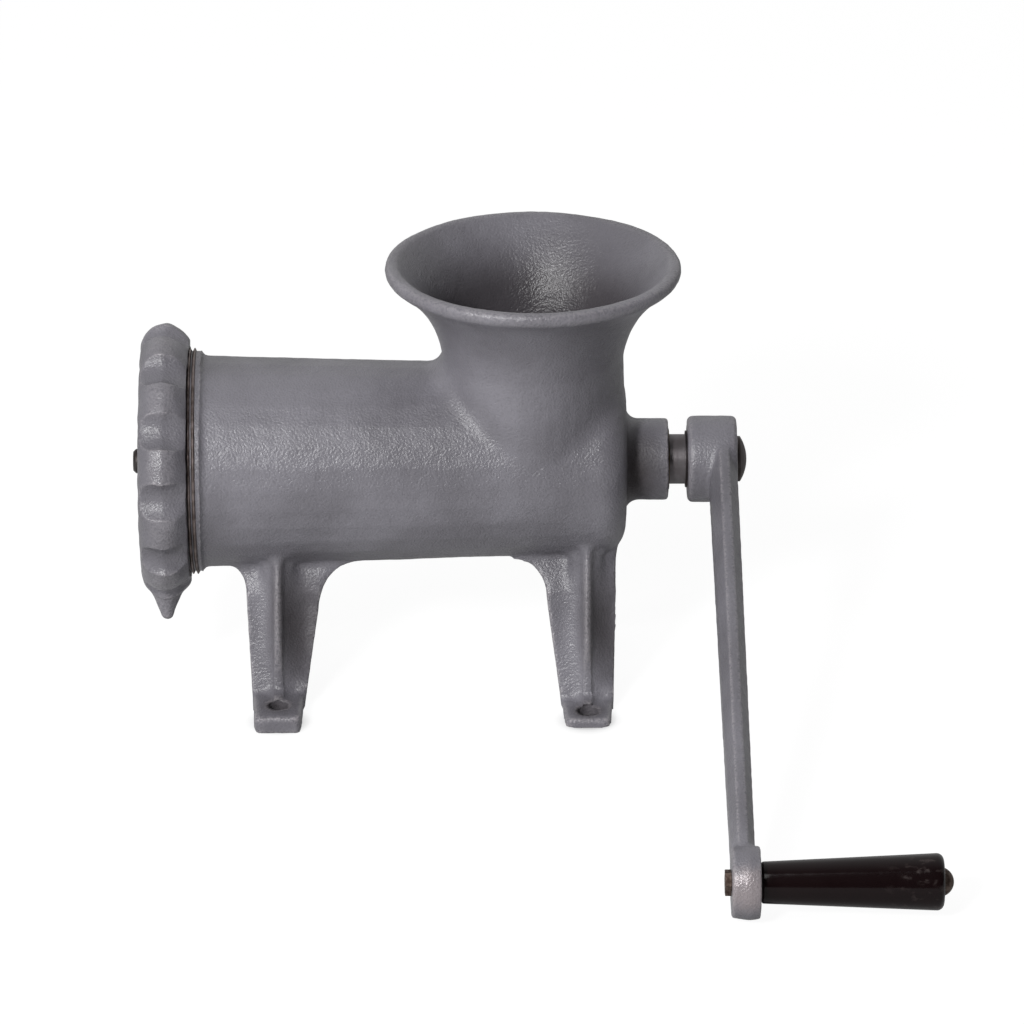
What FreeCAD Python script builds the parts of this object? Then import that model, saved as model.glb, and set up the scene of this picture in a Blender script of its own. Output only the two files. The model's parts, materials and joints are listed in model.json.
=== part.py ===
import FreeCAD, Part
import math
import os
from FreeCAD import Vector

# Hand crank meat grinder with a bolt-down body, built to take plates of 82.5 mm.
# Millimetres. Origin: middle of the four foot bolts on the sole plane.
# +X runs along the feed screw towards the crank, +Z is up.

# Clearances
RUNNING_CLEARANCE = 0.06
FACE_GAP = 0.1
SLIDING_CLEARANCE = 0.25
THREAD_CLEARANCE = 0.3
SQUARE_CLEARANCE = 0.05
SEAM_TOLERANCE = 0.01

# Feet
BOLT_SPACING_X = 138.8
BOLT_SPACING_Y = 112.0
BOLT_HOLE_R = 4.25
FOOT_WIDTH = 24.0
FOOT_FRONT_WIDTH = 21.4
RING_END_FOOT_REACH = 14.0
RING_END_FOOT_THICKNESS = 8.3
CRANK_END_FOOT_REACH = 10.0
CRANK_END_FOOT_THICKNESS = 5.2
FOOT_HEEL = 20.0
FOOT_CORNER_R = 4.0
FOOT_EDGE_R = 2.0

# Legs
LEG_INNER_FLARE = 6.4
LEG_OUTER_FLARE = 2.6
RING_END_ARCH_R = 20.0
CRANK_END_ARCH_R = 15.0
LEG_TOP_RISE = 15.0
LEG_END_R = 13.0
LEG_ARCH_DROP = 40.0
LEG_SPLAY = 15.5
LEG_SOLE_SET_BACK = 10.5
LEG_KNEE_DROP = 52.0
LEG_KNEE_SPLAY = 35.0
LEG_FLANGE = 6.5
RIB_HEIGHT = 7.5
RIB_WIDTH = 4.6
RIB_ROOT_R = 5.0

# Barrel
AXIS_Z = 103.4
NOSE_FACE_X = -121.0
NOSE_R = 51.0
NOSE_LENGTH = 18.0
BARREL_FRONT_R = 48.0
BARREL_REAR_R = 42.6
REAR_FACE_X = 87.5
REAR_CORNER_R = 13.0
REAR_WALL = 7.0
BORE_FRONT_R = 40.5
BORE_REAR_R = 36.8
BEARING_BOSS_R = 18.7
BEARING_BOSS_LENGTH = 19.1
BEARING_BOSS_FILLET = 5.0

# Hopper, heights above the screw axis
HOPPER_X = 45.4
THROAT_R = 41.8
NECK_R = 41.0
NECK_HEIGHT = 52.0
FLARE_R = 51.0
FLARE_HEIGHT = 76.0
RIM_R = 66.4
RIM_HEIGHT = 95.6
RIM_DEPTH = 7.0
RIM_BULGE = 1.8
MOUTH_WALL = 3.6
INNER_FLARE_RISE = 2.0
HOPPER_WALL = 6.0
THROAT_FILLET = 9.0

# Plate, knife and ring
PLATE_R = 41.25
PLATE_THICKNESS = 10.0
PLATE_PROUD = 1.0
PLATE_HOLE_R = 3.2
PLATE_HOLE_PITCH = 8.8
PLATE_HUB_R = 11.0
PLATE_RIM_WIDTH = 5.2
KEY_PIN_R = 2.5
KEY_PIN_SHORT = 1.0
KNIFE_THICKNESS = 12.0
KNIFE_R = 39.5
KNIFE_HUB_R = 15.0
KNIFE_ARM_WIDTH = 17.0
KNIFE_EDGE_WIDTH = 9.0
KNIFE_SWEEP = 7.0
RING_WIDTH = 22.5
RING_LIP = 8.8
RING_MOUTH_R = 36.5
RING_LUG_R = 62.6
RING_BACK_R = 57.5
RING_FACE_R = 51.5
RING_NOSE_DEPTH = 3.2
RING_NOSE_DROP = 3.7
RING_BACK_DROP = 1.3
RING_LUGS = 12
RING_VALLEY_R = 57.2
RING_VALLEY_CUT_R = 9.0
RING_VALLEY_DRAFT = 1.8
POINTER_ANGLE = -70.0
POINTER_R = 72.0
POINTER_BASE_R = 10.0
POINTER_TIP_R = 3.4

# Feed screw and stud
SCREW_CLEARANCE = 0.8
SCREW_FRONT_CORE_R = 23.0
SCREW_REAR_CORE_R = 15.0
SCREW_PITCH = 44.0
FLIGHT_ROOT = 11.0
FLIGHT_CREST = 5.0
FLIGHT_SUNK = 4.5
FLIGHT_OVERRUN = 6.0
SCREW_FLANGE_R = 22.0
SCREW_FLANGE = 5.0
THRUST_WASHER = 2.0
THRUST_WASHER_R = 21.0
JOURNAL_R = 11.2
BUSHING_WALL = 2.4
SHAFT_OUTSIDE = 7.3
STUD_R = 5.5
STUD_CHAMFER = 1.2
STUD_PROUD = 3.6
STUD_SQUARE = 13.0
STUD_SHANK_R = 6.0
STUD_SHANK_LENGTH = 22.0

# Crank
CRANK_LENGTH = 268.0
HUB_R = 19.6
HUB_WIDTH = 22.4
HUB_CHAMFER = 1.6
TANG_SQUARE = 15.0
TANG_SHORT = 2.0
SHAFT_WASHER = 0.8
SHAFT_WASHER_R = 12.8
CRANK_SCREW_R = 5.0
CRANK_SCREW_LENGTH = 26.0
CRANK_SCREW_HEAD_R = 10.25
CRANK_SCREW_HEAD = 4.5
CRANK_SCREW_RIM = 1.5
ARM_HUB_WIDTH = 34.0
ARM_END_WIDTH = 23.0
ARM_HUB_THICKNESS = 12.8
ARM_END_THICKNESS = 10.7
ARM_CREST = 4.4
ARM_FLAT_SHARE = 0.2
ARM_SET_OUT = 0.8
END_BOSS_R = 16.0
END_BOSS_WIDTH = 12.4
END_BOSS_DRAFT = 1.2
END_BOSS_RIDGE = 5.0
TABLE_GAP = 0.3

# Handle
GRIP_LENGTH = 76.8
GRIP_INNER_R = 9.0
GRIP_OUTER_R = 12.2
GRIP_END_ROUND = 3.0
GRIP_END_PLAY = 0.3
BOLT_SHOULDER_R = 4.6
BOLT_THREAD_R = 3.4
BOLT_HEAD_R = 5.9
BOLT_HEAD = 4.0
NUT_FLATS = 10.0
NUT_THICKNESS = 2.6

# Places worked out from the sizes above
SEAT_R = PLATE_R + SLIDING_CLEARANCE
PLATE_FRONT_X = NOSE_FACE_X - PLATE_PROUD
PLATE_BACK_X = PLATE_FRONT_X + PLATE_THICKNESS
KNIFE_BACK_X = PLATE_BACK_X + FACE_GAP + KNIFE_THICKNESS
SCREW_FRONT_X = KNIFE_BACK_X
RING_FRONT_X = PLATE_FRONT_X - RING_LIP
RING_BACK_X = RING_FRONT_X + RING_WIDTH
BARREL_FRONT_X = NOSE_FACE_X + NOSE_LENGTH
REAR_INNER_X = REAR_FACE_X - REAR_WALL
BOSS_END_X = REAR_FACE_X + BEARING_BOSS_LENGTH
FLANGE_BACK_X = REAR_INNER_X - THRUST_WASHER - FACE_GAP
SHOULDER_X = BOSS_END_X + SHAFT_OUTSIDE
HUB_INNER_X = SHOULDER_X + SHAFT_WASHER
HUB_OUTER_X = HUB_INNER_X + HUB_WIDTH
END_BOSS_OUTER_X = HUB_OUTER_X + ARM_SET_OUT
END_BOSS_INNER_X = END_BOSS_OUTER_X - END_BOSS_WIDTH
GRIP_INNER_X = END_BOSS_OUTER_X + GRIP_END_PLAY
GRIP_OUTER_X = GRIP_INNER_X + GRIP_LENGTH
BOLT_HEAD_X = GRIP_OUTER_X + GRIP_END_PLAY
BUSHING_R = JOURNAL_R + RUNNING_CLEARANCE + BUSHING_WALL
CRANK_ANGLE = math.degrees(math.acos((AXIS_Z - END_BOSS_R - TABLE_GAP) / CRANK_LENGTH))
AXIS = Vector(0, 0, AXIS_Z)
X_DIR = Vector(1, 0, 0)
Y_DIR = Vector(0, 1, 0)
Z_DIR = Vector(0, 0, 1)


def cylinder_x(radius, x_from, x_to):
    """Round bar on the screw axis."""
    return Part.makeCylinder(radius, x_to - x_from, Vector(x_from, 0, AXIS_Z), X_DIR)


def square_x(side, x_from, x_to):
    """Square bar on the screw axis."""
    corner = Vector(x_from, -side / 2, AXIS_Z - side / 2)
    return Part.makeBox(x_to - x_from, side, side, corner)


def revolve_x(edges):
    """Solid turned about the screw axis from a closed outline of (x, radius) edges."""
    face = Part.Face(Part.Wire(edges))
    return face.revolve(AXIS, X_DIR, 360)


def on_axis(x, radius):
    """Point of a turned outline, given as place along the axis and radius."""
    return Vector(x, 0, AXIS_Z + radius)


def line(start, end):
    """Straight edge."""
    return Part.LineSegment(start, end).toShape()


def arc(start, middle, end):
    """Circular edge through three points."""
    return Part.Arc(start, middle, end).toShape()


def outline(points):
    """Closed chain of straight edges."""
    closed = points + [points[0]]
    return [line(a, b) for a, b in zip(closed, closed[1:])]


def quarter_point(centre, radius, angle, u_dir, v_dir):
    """Point at an angle on a circle that lies in the plane of two directions."""
    turn = math.radians(angle)
    return centre + u_dir * (radius * math.cos(turn)) + v_dir * (radius * math.sin(turn))


def round_arc(centre, radius, start, end, u_dir, v_dir):
    """Arc of a circle between two angles."""
    ends = [quarter_point(centre, radius, a, u_dir, v_dir) for a in (start, (start + end) / 2, end)]
    return arc(*ends)


def barrel_outside():
    """Threaded nose, tapered barrel, rounded rear wall and bearing boss as one turned form."""
    corner = Vector(REAR_FACE_X - REAR_CORNER_R, 0, AXIS_Z + BARREL_REAR_R - REAR_CORNER_R)
    root = Vector(REAR_FACE_X + BEARING_BOSS_FILLET, 0, AXIS_Z + BEARING_BOSS_R + BEARING_BOSS_FILLET)
    corner_arc = round_arc(corner, REAR_CORNER_R, 90, 0, X_DIR, Z_DIR)
    root_arc = round_arc(root, BEARING_BOSS_FILLET, 180, 270, X_DIR, Z_DIR)
    nose = [on_axis(NOSE_FACE_X, 0), on_axis(NOSE_FACE_X, NOSE_R), on_axis(BARREL_FRONT_X, NOSE_R),
            on_axis(BARREL_FRONT_X, BARREL_FRONT_R), corner_arc.firstVertex().Point]
    boss = [root_arc.lastVertex().Point, on_axis(BOSS_END_X, BEARING_BOSS_R), on_axis(BOSS_END_X, 0)]
    edges = [line(a, b) for a, b in zip(nose, nose[1:])]
    edges += [corner_arc, line(corner_arc.lastVertex().Point, root_arc.firstVertex().Point), root_arc]
    edges += [line(a, b) for a, b in zip(boss, boss[1:])]
    edges.append(line(boss[-1], nose[0]))
    return revolve_x(edges)


def barrel_bore():
    """Plate seat, tapered bore and bushing bore."""
    points = [on_axis(NOSE_FACE_X, 0), on_axis(NOSE_FACE_X, SEAT_R), on_axis(KNIFE_BACK_X, SEAT_R),
              on_axis(KNIFE_BACK_X, BORE_FRONT_R), on_axis(REAR_INNER_X, BORE_REAR_R),
              on_axis(REAR_INNER_X, BUSHING_R), on_axis(BOSS_END_X, BUSHING_R), on_axis(BOSS_END_X, 0)]
    return revolve_x(outline(points))


def on_hopper(radius, height):
    """Point of the hopper outline, given as radius and height above the screw axis."""
    return Vector(HOPPER_X + radius, 0, AXIS_Z + height)


def hopper_outside():
    """Throat and trumpet-shaped hopper with a thick rolled rim."""
    under_rim = RIM_HEIGHT - RIM_DEPTH
    flare = Part.BSplineCurve()
    flare.interpolate([on_hopper(NECK_R, NECK_HEIGHT), on_hopper(FLARE_R, FLARE_HEIGHT),
                       on_hopper(RIM_R - RIM_BULGE, under_rim)])
    rim = arc(on_hopper(RIM_R - RIM_BULGE, under_rim), on_hopper(RIM_R, RIM_HEIGHT - RIM_DEPTH / 2),
              on_hopper(RIM_R - RIM_BULGE, RIM_HEIGHT))
    edges = [line(on_hopper(0, 0), on_hopper(THROAT_R, 0)),
             line(on_hopper(THROAT_R, 0), on_hopper(NECK_R, NECK_HEIGHT)),
             flare.toShape(), rim,
             line(on_hopper(RIM_R - RIM_BULGE, RIM_HEIGHT), on_hopper(0, RIM_HEIGHT)),
             line(on_hopper(0, RIM_HEIGHT), on_hopper(0, 0))]
    return Part.Face(Part.Wire(edges)).revolve(on_hopper(0, 0), Z_DIR, 360)


def hopper_inside():
    """Funnel that leads from the rim down into the bore."""
    throat = NECK_R - HOPPER_WALL
    mouth = RIM_R - RIM_BULGE - MOUTH_WALL
    flare = Part.BSplineCurve()
    flare.interpolate([on_hopper(throat, NECK_HEIGHT),
                       on_hopper(FLARE_R - HOPPER_WALL, FLARE_HEIGHT + INNER_FLARE_RISE),
                       on_hopper(mouth, RIM_HEIGHT)])
    edges = [line(on_hopper(0, 0), on_hopper(throat, 0)),
             line(on_hopper(throat, 0), on_hopper(throat, NECK_HEIGHT)),
             flare.toShape(),
             line(on_hopper(mouth, RIM_HEIGHT), on_hopper(0, RIM_HEIGHT)),
             line(on_hopper(0, RIM_HEIGHT), on_hopper(0, 0))]
    return Part.Face(Part.Wire(edges)).revolve(on_hopper(0, 0), Z_DIR, 360)


def leg_outline(end_flare, arch_r):
    """Front view of one leg, drawn towards +X, with an arch on its inner side."""
    middle = BOLT_SPACING_X / 2
    arch_z = AXIS_Z - LEG_ARCH_DROP
    top_z = arch_z + LEG_TOP_RISE
    inner = middle - FOOT_WIDTH / 2 - LEG_INNER_FLARE
    outer = middle + FOOT_WIDTH / 2 + LEG_OUTER_FLARE
    arch = round_arc(Vector(inner - arch_r, 0, arch_z - arch_r), arch_r, 0, 90, X_DIR, Z_DIR)
    foot_inner = Vector(middle - FOOT_WIDTH / 2, 0, 0)
    foot_outer = Vector(middle + FOOT_WIDTH / 2, 0, 0)
    top_inner = Vector(inner - arch_r, 0, top_z)
    edges = [line(foot_inner, arch.firstVertex().Point), arch, line(arch.lastVertex().Point, top_inner)]
    if end_flare:
        end_centre = Vector(outer + LEG_END_R, 0, arch_z - LEG_END_R)
        end_arc = round_arc(end_centre, LEG_END_R, 90, 180, X_DIR, Z_DIR)
        top_outer = Vector(outer + LEG_END_R, 0, top_z)
        edges += [line(top_inner, top_outer), line(top_outer, end_arc.firstVertex().Point), end_arc,
                  line(end_arc.lastVertex().Point, foot_outer)]
    else:
        top_outer = Vector(outer, 0, top_z)
        edges += [line(top_inner, top_outer), line(top_outer, foot_outer)]
    edges.append(line(foot_outer, foot_inner))
    return Part.Face(Part.Wire(edges))


def leg_line(offset):
    """Side view of a leg's outer line: top, knee and sole, moved outwards by an offset."""
    sole_y = LEG_SOLE_SET_BACK - BOLT_SPACING_Y / 2
    knee_z = AXIS_Z - LEG_KNEE_DROP
    top_z = AXIS_Z - LEG_ARCH_DROP + LEG_TOP_RISE
    knee_y = sole_y + knee_z * math.tan(math.radians(LEG_SPLAY))
    top_y = knee_y + (top_z - knee_z) * math.tan(math.radians(LEG_KNEE_SPLAY))
    return [Vector(0, y - offset, z) for y, z in ((top_y, top_z), (knee_y, knee_z), (sole_y, 0))]


def rib(thickness):
    """Stiffening rib with a rounded crest and hollow flanks, from the foot up into the barrel."""
    splay = math.radians(LEG_SPLAY)
    along = Vector(0, math.sin(splay), math.cos(splay))
    out = Vector(0, -math.cos(splay), math.sin(splay))
    start_z = thickness / 2
    root = Vector(BOLT_SPACING_X / 2, leg_line(0)[2].y + start_z * math.tan(splay), start_z)
    half = RIB_WIDTH / 2
    tip = round_arc(root + out * (RIB_HEIGHT - half), half, 0, 180, X_DIR, out)
    sides = []
    for sign, start, end in ((1, -90, -180), (-1, 0, -90)):
        hollow = root + X_DIR * (sign * (half + RIB_ROOT_R)) + out * RIB_ROOT_R
        sides.append(round_arc(hollow, RIB_ROOT_R, start, end, X_DIR, out))
    right, left = sides
    back = out * -LEG_FLANGE
    right_root = right.firstVertex().Point
    left_root = left.lastVertex().Point
    edges = [right, line(right.lastVertex().Point, tip.firstVertex().Point), tip,
             line(tip.lastVertex().Point, left.firstVertex().Point), left,
             line(left_root, left_root + back), line(left_root + back, right_root + back),
             line(right_root + back, right_root)]
    return Part.Face(Part.Wire(edges)).extrude(along * ((AXIS_Z - start_z) / math.cos(splay)))


def foot(reach, thickness):
    """Foot pad that narrows to the front, with rounded corners and a softened top edge."""
    middle = BOLT_SPACING_X / 2
    front_y = -(BOLT_SPACING_Y / 2 + reach)
    heel_y = FOOT_HEEL - BOLT_SPACING_Y / 2
    corners = [(-FOOT_FRONT_WIDTH, front_y), (FOOT_FRONT_WIDTH, front_y),
               (FOOT_WIDTH, heel_y), (-FOOT_WIDTH, heel_y)]
    points = [Vector(middle + width / 2, y, 0) for width, y in corners]
    pad = Part.Face(Part.Wire(outline(points))).extrude(Z_DIR * thickness)
    upright = [e for e in pad.Edges
               if e.BoundBox.ZLength > thickness / 2 and e.BoundBox.YMax < front_y + reach]
    pad = pad.makeFillet(FOOT_CORNER_R, upright)
    top = [e for e in pad.Edges
           if e.BoundBox.ZMin > thickness / 2 and e.BoundBox.YMin < heel_y - reach / 2]
    return pad.makeFillet(FOOT_EDGE_R, top)


def lies_on(edge, *solids):
    """Whether the middle of an edge lies on the surface of every given solid."""
    middle = Part.Vertex(edge.valueAt((edge.FirstParameter + edge.LastParameter) / 2))
    return all(middle.distToShape(solid.Shells[0])[0] < SEAM_TOLERANCE for solid in solids)


def leg(end_flare, arch_r, reach, thickness):
    """One leg of T section, standing at +X and -Y, with its rib and foot."""
    slab = leg_outline(end_flare, arch_r).extrude(Vector(0, -BOLT_SPACING_Y, 0))
    side = Part.Face(Part.Wire(outline(leg_line(0) + leg_line(-LEG_FLANGE)[::-1])))
    flange = slab.common(side.extrude(X_DIR * (BOLT_SPACING_X + 2 * FOOT_WIDTH)))
    return flange.fuse([rib(thickness), foot(reach, thickness)]).removeSplitter()


def body_casting():
    """Cast body: barrel, hopper, bearing boss and four splayed legs in one piece."""
    barrel = barrel_outside()
    hopper = hopper_outside()
    shell = barrel.fuse(hopper).removeSplitter()
    seam = [e for e in shell.Edges if lies_on(e, barrel, hopper)]
    shell = shell.makeFillet(THROAT_FILLET, seam)
    rear_leg = leg(False, CRANK_END_ARCH_R, CRANK_END_FOOT_REACH, CRANK_END_FOOT_THICKNESS)
    front_leg = leg(True, RING_END_ARCH_R, RING_END_FOOT_REACH, RING_END_FOOT_THICKNESS)
    front_leg = front_leg.mirror(Vector(0, 0, 0), X_DIR)
    legs = []
    for near in (front_leg, rear_leg):
        legs += [near, near.mirror(Vector(0, 0, 0), Y_DIR)]
    casting = shell.fuse(legs)
    cuts = [barrel_bore(), hopper_inside(), key_pin_bar(KEY_PIN_R)]
    for sign_x in (-1, 1):
        for sign_y in (-1, 1):
            place = Vector(sign_x * BOLT_SPACING_X / 2, sign_y * BOLT_SPACING_Y / 2, 0)
            cuts.append(Part.makeCylinder(BOLT_HOLE_R, 2 * RING_END_FOOT_THICKNESS, place, Z_DIR))
    return casting.cut(cuts).removeSplitter()


def key_pin_bar(radius):
    """Round bar at the top of the plate seat, half sunk in its wall, that ends short of the knife."""
    start = Vector(NOSE_FACE_X, 0, AXIS_Z + SEAT_R)
    return Part.makeCylinder(radius, PLATE_BACK_X - KEY_PIN_SHORT - NOSE_FACE_X, start, X_DIR)


def plate_key_pin():
    """Dowel that keeps the hole plate from turning."""
    return key_pin_bar(KEY_PIN_R)


def rear_bushing():
    """Plain sleeve bearing pressed into the boss."""
    sleeve = cylinder_x(BUSHING_R, REAR_INNER_X, BOSS_END_X)
    return sleeve.cut(cylinder_x(JOURNAL_R + RUNNING_CLEARANCE, REAR_INNER_X, BOSS_END_X))


def thrust_washer():
    """Flat washer between the screw flange and the rear wall."""
    start = FLANGE_BACK_X
    washer = cylinder_x(THRUST_WASHER_R, start, start + THRUST_WASHER)
    return washer.cut(cylinder_x(JOURNAL_R, start, start + THRUST_WASHER))


def bore_radius(x):
    """Radius of the tapered bore at a place along the axis."""
    share = (x - KNIFE_BACK_X) / (REAR_INNER_X - KNIFE_BACK_X)
    return BORE_FRONT_R + share * (BORE_REAR_R - BORE_FRONT_R)


def screw_flight(length):
    """Helical flight along +X that starts inside the core and stands past the bore."""
    inside = min(SCREW_FRONT_CORE_R, SCREW_REAR_CORE_R) - FLIGHT_SUNK
    outside = BORE_FRONT_R + FLIGHT_OVERRUN
    section = Part.Wire(outline([Vector(inside, 0, -FLIGHT_ROOT / 2), Vector(outside, 0, -FLIGHT_CREST / 2),
                                 Vector(outside, 0, FLIGHT_CREST / 2), Vector(inside, 0, FLIGHT_ROOT / 2)]))
    sweep = Part.BRepOffsetAPI.MakePipeShell(Part.Wire(Part.makeLongHelix(SCREW_PITCH, length, BORE_FRONT_R)))
    sweep.setBiNormalMode(Z_DIR)
    sweep.add(section)
    sweep.build()
    sweep.makeSolid()
    flight = sweep.shape()
    flight.rotate(Vector(0, 0, 0), Y_DIR, 90)
    return flight


def feed_screw():
    """Tapered feed screw with one helical flight, journal and square tang."""
    flange_x = FLANGE_BACK_X - SCREW_FLANGE
    length = flange_x - SCREW_FRONT_X
    flight = screw_flight(length + SCREW_PITCH)
    flight.translate(Vector(SCREW_FRONT_X - SCREW_PITCH / 2, 0, AXIS_Z))
    front_r = bore_radius(SCREW_FRONT_X) - SCREW_CLEARANCE
    rear_r = bore_radius(flange_x) - SCREW_CLEARANCE
    start = Vector(SCREW_FRONT_X, 0, AXIS_Z)
    envelope = Part.makeCone(front_r, rear_r, length, start, X_DIR)
    core = Part.makeCone(SCREW_FRONT_CORE_R, SCREW_REAR_CORE_R, length, start, X_DIR)
    flange = cylinder_x(SCREW_FLANGE_R, flange_x, FLANGE_BACK_X)
    journal = cylinder_x(JOURNAL_R, FLANGE_BACK_X, SHOULDER_X)
    tang = square_x(TANG_SQUARE, SHOULDER_X, HUB_OUTER_X - TANG_SHORT)
    screw = core.fuse([flight.common(envelope), flange, journal, tang])
    socket = cylinder_x(STUD_SHANK_R, SCREW_FRONT_X, SCREW_FRONT_X + STUD_SHANK_LENGTH)
    tapping = cylinder_x(CRANK_SCREW_R, HUB_OUTER_X - CRANK_SCREW_LENGTH, HUB_OUTER_X)
    return screw.cut([socket, tapping]).removeSplitter()


def screw_stud():
    """Steel stud: shank in the screw, square for the knife, round end through the plate."""
    tip_x = RING_FRONT_X - STUD_PROUD
    square_start = PLATE_BACK_X + FACE_GAP
    shank = cylinder_x(STUD_SHANK_R, SCREW_FRONT_X, SCREW_FRONT_X + STUD_SHANK_LENGTH)
    square = square_x(STUD_SQUARE, square_start, SCREW_FRONT_X)
    pilot = cylinder_x(STUD_R, tip_x + STUD_CHAMFER, square_start)
    nib = Part.makeCone(STUD_R - STUD_CHAMFER, STUD_R, STUD_CHAMFER, Vector(tip_x, 0, AXIS_Z), X_DIR)
    return shank.fuse([square, pilot, nib]).removeSplitter()


def knife_arm():
    """One swept cutting arm, upright, with its edge on the plate side."""
    front = PLATE_BACK_X + FACE_GAP
    sweep = Vector(0, KNIFE_SWEEP, 0)

    def band(x, width, shift):
        start = Vector(x, 0, AXIS_Z)
        tip = Vector(x, 0, AXIS_Z + KNIFE_R + KNIFE_THICKNESS) + sweep
        side = Y_DIR * (width / 2)
        across = Y_DIR * shift
        return Part.Wire(outline([start - side + across, start + side + across,
                                  tip + side + across, tip - side + across]))

    trail = (KNIFE_ARM_WIDTH - KNIFE_EDGE_WIDTH) / 2
    bands = [band(front, KNIFE_EDGE_WIDTH, trail), band(KNIFE_BACK_X, KNIFE_ARM_WIDTH, 0)]
    return Part.makeLoft(bands, True, True)


def cutting_knife():
    """Four-armed knife with a square eye."""
    front = PLATE_BACK_X + FACE_GAP
    arms = []
    for quarter in range(4):
        arm = knife_arm()
        arm.rotate(AXIS, X_DIR, 90 * quarter)
        arms.append(arm)
    hub = cylinder_x(KNIFE_HUB_R, front, KNIFE_BACK_X)
    knife = hub.fuse(arms).common(cylinder_x(KNIFE_R, front, KNIFE_BACK_X))
    return knife.cut(square_x(STUD_SQUARE + 2 * SQUARE_CLEARANCE, front, KNIFE_BACK_X)).removeSplitter()


def plate_hole_places():
    """Centres of a triangular pattern of holes between the hub and the rim."""
    reach = PLATE_R - PLATE_RIM_WIDTH - PLATE_HOLE_R
    rows = int(reach / PLATE_HOLE_PITCH) + 2
    places = []
    for i in range(-rows, rows + 1):
        for j in range(-rows, rows + 1):
            y = PLATE_HOLE_PITCH * (i + j / 2)
            z = PLATE_HOLE_PITCH * j * math.sqrt(3) / 2
            if PLATE_HUB_R + PLATE_HOLE_R <= math.hypot(y, z) <= reach:
                places.append((y, z))
    return places


def hole_plate():
    """Steel plate with cutting holes, a pilot hole and a key notch."""
    cuts = [cylinder_x(STUD_R + RUNNING_CLEARANCE, PLATE_FRONT_X, PLATE_BACK_X)]
    for y, z in plate_hole_places():
        start = Vector(PLATE_FRONT_X, y, AXIS_Z + z)
        cuts.append(Part.makeCylinder(PLATE_HOLE_R, PLATE_THICKNESS, start, X_DIR))
    notch_r = KEY_PIN_R + SLIDING_CLEARANCE
    notch_start = Vector(PLATE_FRONT_X, 0, AXIS_Z + SEAT_R)
    cuts.append(Part.makeCylinder(notch_r, PLATE_THICKNESS, notch_start, X_DIR))
    return cylinder_x(PLATE_R, PLATE_FRONT_X, PLATE_BACK_X).cut(cuts)


def ring_blank():
    """Turned form of the ring nut with a rounded front and a crowned grip."""
    crown_x = (RING_FRONT_X + RING_BACK_X) / 2
    nose = arc(on_axis(RING_FRONT_X, RING_FACE_R),
               on_axis(RING_FRONT_X + RING_NOSE_DEPTH, RING_LUG_R - RING_NOSE_DROP),
               on_axis(crown_x, RING_LUG_R))
    back = arc(on_axis(crown_x, RING_LUG_R),
               on_axis((crown_x + RING_BACK_X) / 2, RING_LUG_R - RING_BACK_DROP),
               on_axis(RING_BACK_X, RING_BACK_R))
    thread_r = NOSE_R + THREAD_CLEARANCE
    inside = [on_axis(RING_BACK_X, RING_BACK_R), on_axis(RING_BACK_X, thread_r),
              on_axis(PLATE_FRONT_X, thread_r), on_axis(PLATE_FRONT_X, RING_MOUTH_R),
              on_axis(RING_FRONT_X, RING_MOUTH_R), on_axis(RING_FRONT_X, RING_FACE_R)]
    return revolve_x([nose, back] + [line(a, b) for a, b in zip(inside, inside[1:])])


def ring_valley():
    """Scallop between two lugs, narrowest at the middle of the ring."""
    crown_x = (RING_FRONT_X + RING_BACK_X) / 2
    centre_r = RING_VALLEY_R + RING_VALLEY_CUT_R
    half = RING_WIDTH / 2
    wide = RING_VALLEY_CUT_R + RING_VALLEY_DRAFT
    front = Part.makeCone(wide, RING_VALLEY_CUT_R, half, on_axis(RING_FRONT_X, centre_r), X_DIR)
    back = Part.makeCone(RING_VALLEY_CUT_R, wide, half, on_axis(crown_x, centre_r), X_DIR)
    return front.fuse(back)


def ring_pointer():
    """Long pointed lug, standing upright on the ring."""
    crown_x = (RING_FRONT_X + RING_BACK_X) / 2
    base_r = NOSE_R + THREAD_CLEARANCE + POINTER_TIP_R
    tip_centre = POINTER_R - POINTER_TIP_R
    cone = Part.makeCone(POINTER_BASE_R, POINTER_TIP_R, tip_centre - base_r, on_axis(crown_x, base_r), Z_DIR)
    return cone.fuse(Part.makeSphere(POINTER_TIP_R, on_axis(crown_x, tip_centre)))


def ring_nut():
    """Cast ring nut with scalloped lugs and one long pointed lug."""
    step = 360 / RING_LUGS
    pointer_turn = 90 - POINTER_ANGLE
    ring = ring_blank()
    valleys = []
    for index in range(RING_LUGS):
        valley = ring_valley()
        valley.rotate(AXIS, X_DIR, pointer_turn + step * (index + 0.5))
        valleys.append(valley)
    pointer = ring_pointer()
    pointer.rotate(AXIS, X_DIR, pointer_turn)
    return ring.cut(valleys).fuse(pointer).removeSplitter()


def shaft_washer():
    """Thin washer between the shaft shoulder and the crank hub."""
    washer = cylinder_x(SHAFT_WASHER_R, SHOULDER_X, HUB_INNER_X)
    return washer.cut(square_x(TANG_SQUARE, SHOULDER_X, HUB_INNER_X))


def arm_section(z, centre_x, width, thickness):
    """Flattened diamond section of the crank arm, with a narrow crest on both edges."""
    crest = ARM_CREST / 2
    flat = width * ARM_FLAT_SHARE
    half = thickness / 2
    points = [(-half, -flat), (-crest, -width / 2), (crest, -width / 2), (half, -flat),
              (half, flat), (crest, width / 2), (-crest, width / 2), (-half, flat)]
    return Part.Wire(outline([Vector(centre_x + x, y, z) for x, y in points]))


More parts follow.
